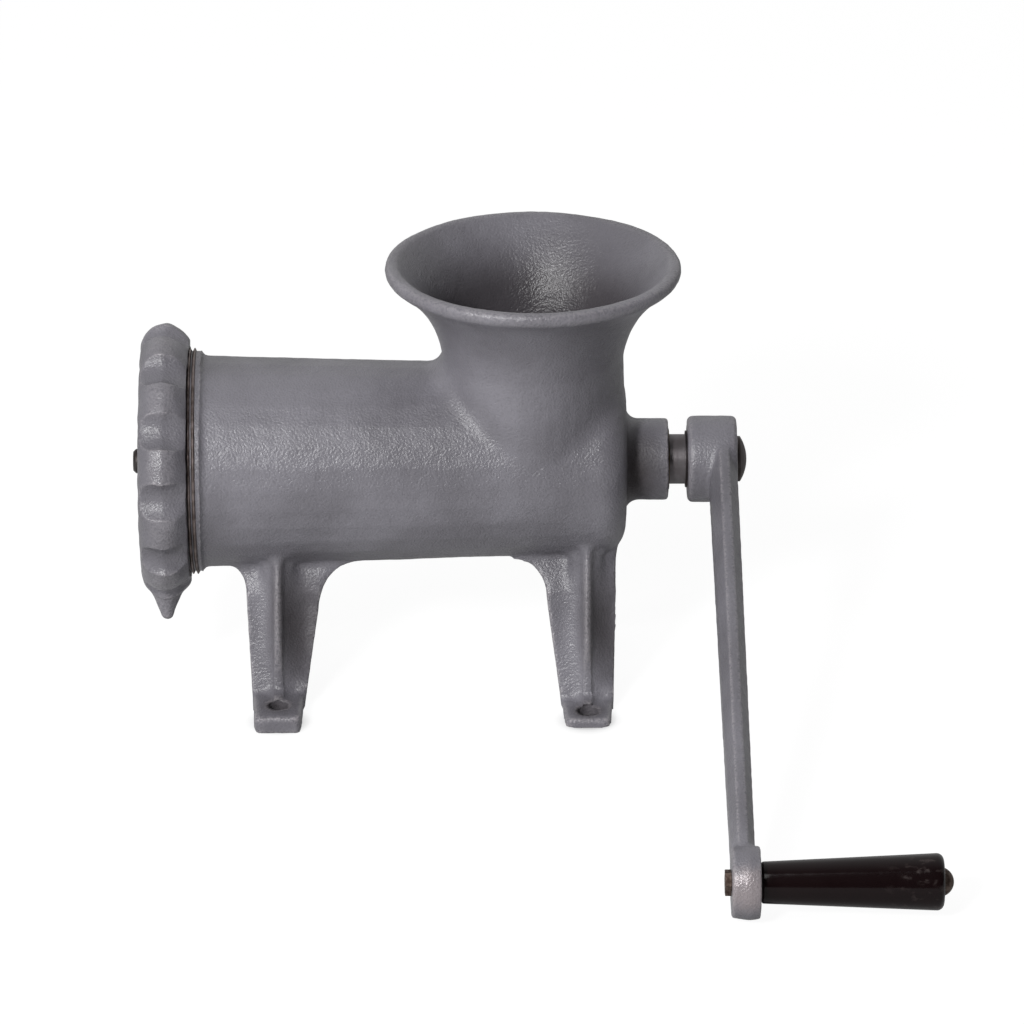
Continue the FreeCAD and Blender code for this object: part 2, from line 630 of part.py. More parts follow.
def crank_arm():
    """Cast crank: hub with a square eye, straight tapered arm and end boss."""
    hub_side = [on_axis(HUB_INNER_X, 0), on_axis(HUB_INNER_X, HUB_R - HUB_CHAMFER),
                on_axis(HUB_INNER_X + HUB_CHAMFER, HUB_R), on_axis(HUB_OUTER_X - HUB_CHAMFER, HUB_R),
                on_axis(HUB_OUTER_X, HUB_R - HUB_CHAMFER), on_axis(HUB_OUTER_X, 0)]
    hub = revolve_x(outline(hub_side))
    ridge_x = END_BOSS_OUTER_X - END_BOSS_RIDGE
    end_side = [on_axis(END_BOSS_INNER_X, 0), on_axis(END_BOSS_INNER_X, END_BOSS_R - END_BOSS_DRAFT),
                on_axis(ridge_x, END_BOSS_R), on_axis(END_BOSS_OUTER_X, END_BOSS_R - END_BOSS_DRAFT / 2),
                on_axis(END_BOSS_OUTER_X, 0)]
    end_boss = revolve_x(outline(end_side))
    end_boss.translate(Z_DIR * -CRANK_LENGTH)
    start_x = HUB_OUTER_X - ARM_HUB_THICKNESS / 2
    start = arm_section(AXIS_Z - HUB_R / 2, start_x, ARM_HUB_WIDTH, ARM_HUB_THICKNESS)
    end_x = END_BOSS_INNER_X + ARM_END_THICKNESS / 2
    end = arm_section(AXIS_Z - CRANK_LENGTH + END_BOSS_R / 2, end_x, ARM_END_WIDTH, ARM_END_THICKNESS)
    arm = Part.makeLoft([start, end], True, True)
    eye = square_x(TANG_SQUARE + 2 * SQUARE_CLEARANCE, HUB_INNER_X, HUB_OUTER_X)
    bolt_hole = cylinder_x(BOLT_THREAD_R, END_BOSS_INNER_X, END_BOSS_OUTER_X)
    bolt_hole.translate(Z_DIR * -CRANK_LENGTH)
    return hub.fuse([end_boss, arm]).cut([eye, bolt_hole]).removeSplitter()


def domed_head(x, radius, height):
    """Low domed screw head that faces +X."""
    sphere_r = (radius ** 2 + height ** 2) / (2 * height)
    ball = Part.makeSphere(sphere_r, Vector(x + height - sphere_r, 0, AXIS_Z))
    return ball.common(cylinder_x(radius, x, x + height))


def crank_screw():
    """Domed screw that holds the crank on the tang."""
    shank = cylinder_x(CRANK_SCREW_R, HUB_OUTER_X - CRANK_SCREW_LENGTH, HUB_OUTER_X)
    dome_x = HUB_OUTER_X + CRANK_SCREW_RIM
    band = cylinder_x(CRANK_SCREW_HEAD_R, HUB_OUTER_X, dome_x)
    dome = domed_head(dome_x, CRANK_SCREW_HEAD_R, CRANK_SCREW_HEAD - CRANK_SCREW_RIM)
    return shank.fuse([band, dome]).removeSplitter()


def handle_bolt():
    """Shoulder bolt that carries the grip, with a domed head."""
    end_x = END_BOSS_INNER_X - NUT_THICKNESS
    thread = cylinder_x(BOLT_THREAD_R, end_x, END_BOSS_OUTER_X)
    shoulder = cylinder_x(BOLT_SHOULDER_R, END_BOSS_OUTER_X, BOLT_HEAD_X)
    bolt = thread.fuse([shoulder, domed_head(BOLT_HEAD_X, BOLT_HEAD_R, BOLT_HEAD)]).removeSplitter()
    bolt.translate(Z_DIR * -CRANK_LENGTH)
    return bolt


def handle_nut():
    """Thin hexagon nut on the inner end of the handle bolt."""
    across = NUT_FLATS / math.sqrt(3)
    start_x = END_BOSS_INNER_X - NUT_THICKNESS
    corners = [quarter_point(Vector(start_x, 0, AXIS_Z), across, 60 * k, Y_DIR, Z_DIR) for k in range(6)]
    nut = Part.Face(Part.Wire(outline(corners))).extrude(X_DIR * NUT_THICKNESS)
    nut = nut.cut(cylinder_x(BOLT_THREAD_R, start_x, END_BOSS_INNER_X))
    nut.translate(Z_DIR * -CRANK_LENGTH)
    return nut


def handle_grip():
    """Tapered moulded grip with a rounded outer end, free to turn on its bolt."""
    bore = BOLT_SHOULDER_R + RUNNING_CLEARANCE
    end = Vector(GRIP_OUTER_X - GRIP_END_ROUND, 0, AXIS_Z + GRIP_OUTER_R - GRIP_END_ROUND)
    end_arc = round_arc(end, GRIP_END_ROUND, 90, 0, X_DIR, Z_DIR)
    points = [end_arc.lastVertex().Point, on_axis(GRIP_OUTER_X, bore), on_axis(GRIP_INNER_X, bore),
              on_axis(GRIP_INNER_X, GRIP_INNER_R), end_arc.firstVertex().Point]
    grip = revolve_x([end_arc] + [line(a, b) for a, b in zip(points, points[1:])])
    grip.translate(Z_DIR * -CRANK_LENGTH)
    return grip


def swung(shape):
    """Turn a crank piece from hanging straight down to lying forward on the table."""
    shape.rotate(AXIS, X_DIR, -CRANK_ANGLE)
    return shape


PIECES = {
    "body_casting": body_casting,
    "plate_key_pin": plate_key_pin,
    "rear_bushing": rear_bushing,
    "thrust_washer": thrust_washer,
    "feed_screw": lambda: swung(feed_screw()),
    "screw_stud": lambda: swung(screw_stud()),
    "cutting_knife": lambda: swung(cutting_knife()),
    "hole_plate": hole_plate,
    "ring_nut": ring_nut,
    "shaft_washer": lambda: swung(shaft_washer()),
    "crank_arm": lambda: swung(crank_arm()),
    "crank_screw": lambda: swung(crank_screw()),
    "handle_bolt": lambda: swung(handle_bolt()),
    "handle_nut": lambda: swung(handle_nut()),
    "handle_grip": lambda: swung(handle_grip()),
}

os.makedirs("parts", exist_ok=True)
for name, make in PIECES.items():
    solid = make()
    solid.exportStep("parts/" + name + ".step")
    print(name, len(solid.Solids), round(solid.Volume), solid.isValid())
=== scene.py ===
import json
import math

import bpy
import numpy as np
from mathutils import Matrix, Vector, noise


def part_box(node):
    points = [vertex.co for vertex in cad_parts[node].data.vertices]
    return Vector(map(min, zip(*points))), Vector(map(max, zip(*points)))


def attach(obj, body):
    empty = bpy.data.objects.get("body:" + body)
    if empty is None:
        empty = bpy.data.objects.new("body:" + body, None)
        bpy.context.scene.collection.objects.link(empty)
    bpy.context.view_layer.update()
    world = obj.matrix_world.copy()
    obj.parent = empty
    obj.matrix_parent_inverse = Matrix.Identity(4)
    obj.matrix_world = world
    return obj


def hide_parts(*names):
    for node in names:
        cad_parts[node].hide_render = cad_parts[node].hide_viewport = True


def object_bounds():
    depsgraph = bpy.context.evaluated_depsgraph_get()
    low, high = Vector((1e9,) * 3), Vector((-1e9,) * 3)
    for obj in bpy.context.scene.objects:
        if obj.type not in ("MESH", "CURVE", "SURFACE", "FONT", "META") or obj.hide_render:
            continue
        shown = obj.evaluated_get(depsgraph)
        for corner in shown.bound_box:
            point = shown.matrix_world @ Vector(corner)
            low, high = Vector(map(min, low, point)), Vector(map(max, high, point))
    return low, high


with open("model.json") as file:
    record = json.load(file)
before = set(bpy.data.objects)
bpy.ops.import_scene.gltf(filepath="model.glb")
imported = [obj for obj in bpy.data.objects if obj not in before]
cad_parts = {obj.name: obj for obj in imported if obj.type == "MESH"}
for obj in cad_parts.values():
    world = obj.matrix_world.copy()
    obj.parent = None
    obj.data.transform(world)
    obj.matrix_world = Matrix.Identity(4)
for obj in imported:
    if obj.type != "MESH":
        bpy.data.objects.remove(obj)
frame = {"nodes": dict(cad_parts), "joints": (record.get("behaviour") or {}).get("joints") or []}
cad_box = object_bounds()
MM = 0.001

# Body casting. Barrel, hopper, bearing boss and four ribbed legs, poured in one piece of grey iron.
# The sand mould leaves every edge round and the skin grainy, and the whole casting is sprayed grey.
# After casting the nose is turned and threaded for the ring nut, and the bolt holes are drilled.
SCREW_AXIS_Z = 103.4 * MM
NOSE_FACE_X = -121.0 * MM
NOSE_SHOULDER_X = -103.0 * MM
THREAD_CREST_R = 50.9 * MM
THREAD_ROOT_R = 49.5 * MM
THREAD_PITCH = 25.4 / 12 * MM
THREAD_STEPS = 120
LEG_X = 69.4 * MM
LEG_SOLE_Y = 45.5 * MM
BOLT_Y = 56.0 * MM
BOLT_HOLE_R = 4.25 * MM
HOPPER_X = 45.4 * MM
LEG_SPLAY = math.radians(15.5)
RING_END_PAD = 8.3 * MM
CRANK_END_PAD = 5.2 * MM
RIB_ZONE_SIDE = 11.0 * MM
RIB_ZONE_OUT = 14.0 * MM
RIB_RUN_OUT = 0.72
RIB_RUN_OUT_Z = (16.0 * MM, 34.0 * MM)
LEFT_LEAN = 0.6 * MM
RIGHT_LEAN = 4.5 * MM
LEAN_STARTS = (3.0 * MM, 15.0 * MM)
LEAN_ENDS = (22.0 * MM, 30.0 * MM)
LEAN_ENDS_Z = (44.0 * MM, 62.0 * MM)
HOLLOW_SIDE = 9.5 * MM
HOLLOW_Z = 38.0 * MM
HOLLOW_WIDTH = 5.5 * MM
HOLLOW_HEIGHT = 19.0 * MM
LEFT_HOLLOW = 0.8 * MM
RIGHT_HOLLOW = 2.0 * MM
PAINT_GREY = (110, 108, 114)
PAINT_PALE = (128, 126, 133)
PAINT_DARK = (76, 73, 76)
# Paler grey for painted highlights on crests, partly paint rubbed thin.
PAINT_RUBBED_AND_HIGHLIGHT = (158, 154, 158)
# Brown for painted shade in creases and at given spots, partly grime.
GRIME_AND_SHADE_BROWN = (44, 36, 35)
# Dark grey for painted shade down the hopper's throat, partly grease.
THROAT_GREASE_AND_SHADE = (62, 58, 61)


def settle(piece):
    """Keep the shape that a piece's modifiers give it, and drop the modifiers."""
    graph = bpy.context.evaluated_depsgraph_get()
    shaped = bpy.data.meshes.new_from_object(piece.evaluated_get(graph))
    piece.modifiers.clear()
    piece.data = shaped
    piece.data.materials.clear()


def sand_cast(name, node, voxel, rounding):
    """A cast piece over its plain solid, with the rounded edges that a sand mould leaves."""
    piece = bpy.data.objects.new(name, frame["nodes"][node].data.copy())
    bpy.context.scene.collection.objects.link(piece)
    skin = piece.modifiers.new("skin", "REMESH")
    skin.mode = "VOXEL"
    skin.voxel_size = voxel
    skin.use_smooth_shade = True
    soft = piece.modifiers.new("rounding", "SMOOTH")
    soft.factor = 0.5
    soft.iterations = rounding
    settle(piece)
    return piece


def points_of(piece):
    """Places of a mesh's points as an array."""
    flat = np.zeros(len(piece.data.vertices) * 3)
    piece.data.vertices.foreach_get("co", flat)
    return flat.reshape(-1, 3)


def normals_of(piece):
    """Directions in which a mesh's points face, as an array."""
    flat = np.zeros(len(piece.data.vertices) * 3)
    piece.data.vertex_normals.foreach_get("vector", flat)
    return flat.reshape(-1, 3)


def place_points(piece, points):
    """Move a mesh's points to the places of an array."""
    piece.data.vertices.foreach_set("co", points.ravel())
    piece.data.update()


def pit(piece, depth, size, seed):
    """Shallow hollows of a given size, pressed into a skin along its normals by the sand."""
    points = points_of(piece)
    offset = Vector((seed, seed * 2.0, seed * 3.0))
    hollow = np.array([noise.noise(Vector(p) / size + offset) for p in points])
    place_points(piece, points + normals_of(piece) * (depth * (hollow[:, None] - 1.0) / 2))


def step(values, low, high):
    """Smooth step of an array from 0 at low to 1 at high."""
    share = np.clip((values - low) / (high - low), 0.0, 1.0)
    return share * share * (3.0 - 2.0 * share)


def between(values, rise, fall):
    """Array mask that rises over the first pair of limits and falls over the second."""
    return step(values, *rise) * (1.0 - step(values, *fall))


def mould_legs(piece):
    """Lean each leg's flanges back from the rib, and let the rib run out above the bolt hole."""
    points = points_of(piece)
    faces = normals_of(piece)
    for leg_x, pad in ((-LEG_X, RING_END_PAD), (LEG_X, CRANK_END_PAD)):
        for side in (-1.0, 1.0):
            out = np.array((0.0, side * math.cos(LEG_SPLAY), math.sin(LEG_SPLAY)))
            proud = (points - (leg_x, side * LEG_SOLE_Y, 0.0)) @ out
            beside = np.abs(points[:, 0] - leg_x)
            on_rib = (proud > 0.0) & (beside < RIB_ZONE_SIDE) & (proud < RIB_ZONE_OUT)
            run_out = between(points[:, 2], (pad + 1.0 * MM, pad + 4.0 * MM), RIB_RUN_OUT_Z)
            points -= np.where(on_rib, RIB_RUN_OUT * run_out * proud, 0.0)[:, None] * out
            height = between(points[:, 2], (pad + 2.0 * MM, pad + 10.0 * MM), LEAN_ENDS_Z)
            flange = (proud > -10.0 * MM) & (proud < 1.5 * MM)
            lean = np.where(points[:, 0] < leg_x, LEFT_LEAN, RIGHT_LEAN)
            bend = lean * between(beside, LEAN_STARTS, LEAN_ENDS) * height
            points -= np.where(flange, bend, 0.0)[:, None] * out
            for way, depth in ((-1.0, LEFT_HOLLOW), (1.0, RIGHT_HOLLOW)):
                centre = np.array((leg_x + way * HOLLOW_SIDE, 0.0, HOLLOW_Z))
                away = (points - centre) / (HOLLOW_WIDTH, 1.0, HOLLOW_HEIGHT)
                soft = np.exp(-away[:, 0] ** 2 - away[:, 2] ** 2)
                facing = np.clip(faces @ out, 0.0, 1.0) * (np.abs(proud) < 9.0 * MM)
                points -= (depth * soft * facing)[:, None] * out
    place_points(piece, points)


def drill_feet(piece):
    """Bring each bolt hole back to its drilled size, which the rounding has widened."""
    points = points_of(piece)
    for leg_x, pad in ((-LEG_X, RING_END_PAD), (LEG_X, CRANK_END_PAD)):
        for side in (-1.0, 1.0):
            middle = np.array((leg_x, side * BOLT_Y))
            away = points[:, :2] - middle
            gap = np.hypot(away[:, 0], away[:, 1])
            wall = (gap < BOLT_HOLE_R + 1.5 * MM) & (points[:, 2] < pad + 1.0 * MM)
            pull = np.where(wall, BOLT_HOLE_R / np.maximum(gap, 0.1 * MM), 1.0)
            points[:, :2] = middle + away * pull[:, None]
    place_points(piece, points)


def blend_joins(piece):
    """Round out the corners where the legs run up into the barrel, and the crests of the ribs."""
    points = points_of(piece)
    radius = np.hypot(points[:, 1], points[:, 2] - SCREW_AXIS_Z)
    beside = np.abs(np.abs(points[:, 0]) - LEG_X)
    low = step(np.abs(points[:, 1]), 14.0 * MM, 20.0 * MM) * (1.0 - step(points[:, 2], 72.0 * MM, 80.0 * MM))
    band = between(radius, (38.0 * MM, 42.0 * MM), (54.0 * MM, 62.0 * MM))
    legs = 1.0 - step(beside, 24.0 * MM, 32.0 * MM)
    plane_y = LEG_SOLE_Y - points[:, 2] * math.tan(LEG_SPLAY)
    crest = (np.abs(points[:, 1]) - plane_y > 3.5 * MM) & (beside < 4.0 * MM)
    ribs = 0.4 * crest * between(points[:, 2], (16.0 * MM, 22.0 * MM), (64.0 * MM, 70.0 * MM))
    weights = np.maximum(low * band * legs, ribs)
    joins = piece.vertex_groups.new(name="joins")
    for index in np.flatnonzero(weights > 0.01):
        joins.add([int(index)], float(weights[index]), "REPLACE")
    soft = piece.modifiers.new("joins", "SMOOTH")
    soft.vertex_group = "joins"
    soft.factor = 0.5
    soft.iterations = 30
    settle(piece)


def linear(colour):
    """Colour written in screen values from 0 to 255, as the shader takes it."""
    parts = [c / 255 for c in colour]
    return tuple(c / 12.92 if c <= 0.04045 else ((c + 0.055) / 1.055) ** 2.4 for c in parts) + (1.0,)


class Wire:
    """A shader socket that can stand in a sum."""

    def __init__(self, tree, socket):
        self.tree = tree
        self.socket = socket

    def node(self, kind, settings, sockets, out=0):
        """A further node: its settings first, then the values or links of its sockets."""
        made = self.tree.nodes.new(kind)
        for name, value in settings.items():
            setattr(made, name, value)
        for name, value in sockets.items():
            if isinstance(value, Wire):
                self.tree.links.new(value.socket, made.inputs[name])
            else:
                made.inputs[name].default_value = value
        return Wire(self.tree, made.outputs[out])

    def maths(self, operation, first, second):
        return self.node("ShaderNodeMath", {"operation": operation}, {0: first, 1: second})

    def __add__(self, other):
        return self.maths("ADD", self, other)

    def __radd__(self, other):
        return self.maths("ADD", other, self)

    def __sub__(self, other):
        return self.maths("SUBTRACT", self, other)

    def __rsub__(self, other):
        return self.maths("SUBTRACT", other, self)

    def __mul__(self, other):
        return self.maths("MULTIPLY", self, other)

    def __rmul__(self, other):
        return self.maths("MULTIPLY", other, self)


def new_finish(name):
    """A material, its shader, and a wire at the piece's own coordinates."""
    material = bpy.data.materials.new(name)
    material.use_nodes = True
    tree = material.node_tree
    place = Wire(tree, tree.nodes.new("ShaderNodeTexCoord").outputs["Object"])
    return material, tree.nodes["Principled BSDF"], place


def feed(shader, socket, wire):
    """Join a wire to one of the shader's sockets."""
    wire.tree.links.new(wire.socket, shader.inputs[socket])


def grain(place, size, detail=2.0):
    """Noise from 0 to 1 with lumps of a given size."""
    return place.node("ShaderNodeTexNoise", {}, {"Vector": place, "Scale": 1 / size, "Detail": detail})


def ease(wire, low, high):
    """Smooth step of a value from 0 at low to 1 at high."""
    limits = {"Value": wire, "From Min": low, "From Max": high}
    return wire.node("ShaderNodeMapRange", {"interpolation_type": "SMOOTHSTEP"}, limits)


def tint(mask, plain, other):
    """One colour where the mask is 0, another where it is 1."""
    return mask.node("ShaderNodeMix", {"data_type": "RGBA"}, {0: mask, 6: plain, 7: other}, out=2)


def relief(height, depth, strength=1.0):
    """Normals of a fine relief whose height runs from 0 to 1."""
    return height.node("ShaderNodeBump", {}, {"Strength": strength, "Distance": depth, "Height": height})


def nearness(place, centre, reach):
    """Mask that is 1 at a point and falls to 0 at a given reach."""
    gap = place.node("ShaderNodeVectorMath", {"operation": "DISTANCE"}, {0: place, 1: centre}, out=1)
    return 1 - ease(gap, 0.0, reach)


def curvature(place):
    """How far the skin stands out (above a half) or in (below a half) at each point."""
    return Wire(place.tree, place.tree.nodes.new("ShaderNodeNewGeometry").outputs["Pointiness"])


def oval_patch(place, centre, reach):
    """Upright oval mask, twice as high as it is wide."""
    squat = (1.0, 1.0, 0.5)
    flat = place.node("ShaderNodeVectorMath", {"operation": "MULTIPLY"}, {0: place, 1: squat})
    return nearness(flat, (centre[0], centre[1], centre[2] * squat[2]), reach)


def inside_throat(place):
    """Mask of painted shade on the hopper's inner wall, partly grease, which grows from the rim down."""
    facing = place.node("ShaderNodeTexCoord", {}, {}, out=1)
    axis = (HOPPER_X, 0.0, 0.0)
    from_axis = place.node("ShaderNodeVectorMath", {"operation": "SUBTRACT"}, {0: place, 1: axis})
    level = place.node("ShaderNodeVectorMath", {"operation": "MULTIPLY"}, {0: from_axis, 1: (1.0, 1.0, 0.0)})
    away = place.node("ShaderNodeVectorMath", {"operation": "NORMALIZE"}, {0: level})
    outward = place.node("ShaderNodeVectorMath", {"operation": "DOT_PRODUCT"}, {0: facing, 1: away}, out=1)
    height = place.node("ShaderNodeSeparateXYZ", {}, {"Vector": place}, out=2)
    return ease(outward, 0.05, -0.25) * ease(height, 197 * MM, 170 * MM) * ease(height, 150 * MM, 154 * MM)


def rib_crests(place):
    """Mask along the crests of the legs' ribs, which are made paler: painted highlight, partly paint rubbed
    thin.
    """
    along = place.node("ShaderNodeSeparateXYZ", {}, {"Vector": place})
    height = place.node("ShaderNodeSeparateXYZ", {}, {"Vector": place}, out=2)
    beside = place.maths("ABSOLUTE", place.maths("ABSOLUTE", along, 0.0) - LEG_X, 0.0)
    return ease(beside, 3.0 * MM, 1.0 * MM) * ease(height, 14 * MM, 24 * MM) * ease(height, 72 * MM, 58 * MM)


def cast_paint(name, worn_at=None, worn_reach=0.0, shade_and_grime_at=(), rub_and_highlight_at=None, has_throat=False):
    """Satin grey paint over a sand-cast skin, thin and paler on crests, darker brown in creases and at given
    spots: painted highlight and painted shade, partly worn paint and grime.
    """
    material, shader, place = new_finish(name)
    fine = grain(place, 1.05 * MM, 2.5)
    lumps = grain(place, 5.5 * MM, 2.0)
    clouds = grain(place, 45.0 * MM, 3.0)
    bend = curvature(place)
    colour = tint(ease(clouds, 0.35, 0.7), linear(PAINT_GREY), linear(PAINT_PALE))
    colour = tint(ease(fine, 0.5, 0.3) * 0.16, colour, linear(PAINT_DARK))
    # Painted shade: creases darkened towards brown, partly grime that settles there.
    colour = tint(ease(bend, 0.47, 0.41) * (0.45 + 0.4 * lumps), colour, linear(GRIME_AND_SHADE_BROWN))
    # Painted highlight: convex crests paler, partly paint rubbed thin there.
    colour = tint(ease(bend, 0.505, 0.55) * ease(fine, 0.35, 0.6) * 0.9, colour, linear(PAINT_RUBBED_AND_HIGHLIGHT))
    # Painted highlight along the given crests, partly paint rubbed by hands.
    if rub_and_highlight_at:
        colour = tint(rub_and_highlight_at(place) * ease(fine, 0.3, 0.56) * 0.4, colour, linear(PAINT_RUBBED_AND_HIGHLIGHT))
    # Painted shade down the hopper's throat, partly dark grease.
    if has_throat:
        colour = tint(0.85 * inside_throat(place), colour, linear(THROAT_GREASE_AND_SHADE))
    # Painted shade at the given spots, partly brown grime; the same patches make the skin matt.
    shade_and_grime = 0.0
    for spot, reach in shade_and_grime_at:
        patch = oval_patch(place, spot, reach) * (0.75 + 0.25 * lumps)
        colour = tint(patch, colour, linear(GRIME_AND_SHADE_BROWN))
        shade_and_grime = patch + shade_and_grime
    sheen = 0.28 + 0.12 * lumps - 0.05 * fine + 0.4 * shade_and_grime
    if rub_and_highlight_at:
        sheen = sheen - 0.08 * rub_and_highlight_at(place)
    if worn_at:
        rubbed = nearness(place, worn_at, worn_reach) + 0.5 * grain(place, 3.0 * MM, 4.0)
        worn = 0.55 * ease(rubbed, 0.55, 1.2)
        colour = tint(worn, colour, linear((168, 156, 156)))
        sheen = sheen - 0.06 * worn
        feed(shader, "Metallic", 0.3 * worn)
    feed(shader, "Base Color", colour)
    feed(shader, "Roughness", sheen)
    feed(shader, "Normal", relief(0.8 * fine + 0.2 * lumps, 0.46 * MM, 1.0))
    return material


def dress(piece, material, body):
    """Give a new piece its finish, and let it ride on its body."""
    piece.data.materials.append(material)
    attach(piece, body)


casting = sand_cast("body_skin", "body_casting", 1.1 * MM, 4)
mould_legs(casting)
blend_joins(casting)
drill_feet(casting)
pit(casting, 0.22 * MM, 4.0 * MM, 3.0)
pit(casting, 0.6 * MM, 28.0 * MM, 5.0)
shape = points_of(casting)
radius = np.hypot(shape[:, 1], shape[:, 2] - SCREW_AXIS_Z)
on_nose = (shape[:, 0] < NOSE_SHOULDER_X - 0.4 * MM) & (radius > THREAD_ROOT_R)
shrink = np.where(on_nose, THREAD_ROOT_R / np.maximum(radius, MM), 1.0)
shape[:, 1] *= shrink
shape[:, 2] = SCREW_AXIS_Z + (shape[:, 2] - SCREW_AXIS_Z) * shrink
shape[:, 2] = np.maximum(shape[:, 2], cad_box[0][2])
place_points(casting, shape)
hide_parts("body_casting")
# Spots of painted shade, partly brown grime: at the root of the bearing boss, in the hollows beside each
# leg's rib, and inside each bolt hole.
shade_and_grime_spots = []
for side in (-1, 1):
    shade_and_grime_spots.append(((90.0 * MM, side * 17.0 * MM, SCREW_AXIS_Z), 21.0 * MM))
    for leg_x in (-LEG_X, LEG_X):
        shade_and_grime_spots.append(((leg_x + 11.0 * MM, side * 37.0 * MM, 42.0 * MM), 21.0 * MM))
        shade_and_grime_spots.append(((leg_x, side * BOLT_Y, 1.0 * MM), 12.0 * MM))
body_paint = cast_paint("body_paint", shade_and_grime_at=shade_and_grime_spots, rub_and_highlight_at=rib_crests, has_throat=True)
dress(casting, body_paint, "grinder_body")


def mesh_piece(name, points, faces):
    """A smooth mesh piece from its points and faces."""
    mesh = bpy.data.meshes.new(name)
    mesh.from_pydata(points, [], faces)
    mesh.polygons.foreach_set("use_smooth", [True] * len(faces))
    mesh.update()
    piece = bpy.data.objects.new(name, mesh)
    bpy.context.scene.collection.objects.link(piece)
    return piece


def swept_ring(rows, sides):
    """Faces of a closed tube of a number of rows, each with a number of sides, with flat ends."""
    faces = []
    for row in range(rows - 1):
        for side in range(sides):
            after = (side + 1) % sides
            faces.append((row * sides + side, row * sides + after,
                          (row + 1) * sides + after, (row + 1) * sides + side))
    faces.append(tuple(range(sides))[::-1])
    faces.append(tuple((rows - 1) * sides + side for side in range(sides)))
    return faces


def nose_thread():
    """Helical ridge of the ring nut's thread, which runs out at both ends."""
    turns = (NOSE_SHOULDER_X - NOSE_FACE_X) / THREAD_PITCH - 1.4
    rows = int(turns * THREAD_STEPS)
    half = THREAD_PITCH / 2
    points = []
    for row in range(rows + 1):
        angle = 2 * math.pi * row / THREAD_STEPS
        middle = NOSE_FACE_X + 0.7 * THREAD_PITCH + THREAD_PITCH * row / THREAD_STEPS
        run_out = min(1.0, row / (THREAD_STEPS / 3), (rows - row) / (THREAD_STEPS / 3))
        crest = THREAD_ROOT_R + (THREAD_CREST_R - THREAD_ROOT_R) * run_out
        base = THREAD_ROOT_R - 0.3 * MM
        section = ((-0.95 * half, base), (-0.14 * half, crest), (0.14 * half, crest), (0.95 * half, base))
        for along, out in section:
            points.append((middle + along, out * math.cos(angle), SCREW_AXIS_Z + out * math.sin(angle)))
    return mesh_piece("nose_thread", points, swept_ring(rows + 1, len(section)))


def thread_finish():
    """Cut thread, bare steel gone brown and oily, in darker and paler blotches."""
    material, shader, place = new_finish("thread_brown")
    blots = grain(place, 5.0 * MM, 4.0)
    colour = tint(ease(blots, 0.35, 0.7), linear((98, 86, 82)), linear((150, 138, 134)))
    feed(shader, "Base Color", colour)
    feed(shader, "Roughness", 0.34 + 0.2 * blots)
    feed(shader, "Normal", relief(grain(place, 0.8 * MM), 0.08 * MM, 0.5))
    shader.inputs["Metallic"].default_value = 0.6
    return material


thread = nose_thread()
dress(thread, thread_finish(), "grinder_body")


# Inner pieces. A bronze sleeve is pressed into the bearing boss and a steel dowel into the plate seat.
# The screw turns on a plain washer, and a steel stud in its nose carries the knife against the plate.
def bare_metal(name, colour, dull, rough, metal, lay):
    """Machined metal with tool marks along the lay and faint stains."""
    material, shader, place = new_finish(name)
    stretch = place.node("ShaderNodeVectorMath", {"operation": "MULTIPLY"}, {0: place, 1: lay})
    marks = stretch.node("ShaderNodeTexNoise", {}, {"Vector": stretch, "Scale": 1.0, "Detail": 3.0})
    stains = grain(place, 9.0 * MM, 4.0)
    feed(shader, "Base Color", tint(ease(stains, 0.42, 0.75), linear(colour), linear(dull)))
    feed(shader, "Roughness", rough + 0.18 * marks + 0.1 * stains)
    feed(shader, "Normal", relief(marks, 0.04 * MM, 0.6))
    shader.inputs["Metallic"].default_value = metal
    return material


def finish_node(node, material):
    """Give a solid that shows as it is its finish."""
    solid = frame["nodes"][node]
    solid.data.materials.clear()
    solid.data.materials.append(material)
    solid.data.polygons.foreach_set("material_index", [0] * len(solid.data.polygons))


TURNED_LAY = (6000.0, 60.0, 60.0)
GROUND_LAY = (60.0, 3500.0, 200.0)
steel = bare_metal("ground_steel", (172, 172, 174), (128, 124, 120), 0.24, 1.0, GROUND_LAY)
turned_steel = bare_metal("turned_steel", (150, 150, 153), (104, 100, 98), 0.3, 0.9, TURNED_LAY)
finish_node("rear_bushing", bare_metal("bushing_bronze", (104, 90, 72), (66, 56, 48), 0.35, 0.8, TURNED_LAY))
finish_node("plate_key_pin", turned_steel)
finish_node("thrust_washer", steel)
finish_node("screw_stud", bare_metal("stud_steel", (78, 74, 74), (56, 48, 44), 0.34, 0.8, TURNED_LAY))
finish_node("cutting_knife", steel)
finish_node("hole_plate", steel)


# Feed screw. One grey iron casting with a tapering flight, left unpainted and tinned dull.
# Its rear end is turned to a journal, which shows between the bearing boss and the crank.
def screw_metal():
    """Dull grey casting on the flight, turning marks on the journal."""
    material, shader, place = new_finish("screw_metal")
    skin = grain(place, 1.6 * MM, 3.0)
    stretch = place.node("ShaderNodeVectorMath", {"operation": "MULTIPLY"}, {0: place, 1: TURNED_LAY})
    marks = stretch.node("ShaderNodeTexNoise", {}, {"Vector": stretch, "Scale": 0.6, "Detail": 2.0})
    along = place.node("ShaderNodeSeparateXYZ", {}, {"Vector": place})
    turned = ease(along, 84 * MM, 88 * MM)
    stains = grain(place, 7.0 * MM, 4.0)
    colour = tint(ease(stains, 0.4, 0.72), linear((122, 120, 122)), linear((84, 80, 80)))
    colour = tint(turned * (0.5 + 0.4 * ease(marks, 0.3, 0.75)), colour, linear((104, 98, 100)))
    feed(shader, "Base Color", colour)
    feed(shader, "Roughness", 0.42 + 0.15 * stains - 0.1 * turned)
    feed(shader, "Normal", relief(skin * (1 - turned) + marks * turned, 0.1 * MM, 0.5))
    shader.inputs["Metallic"].default_value = 0.55
    return material


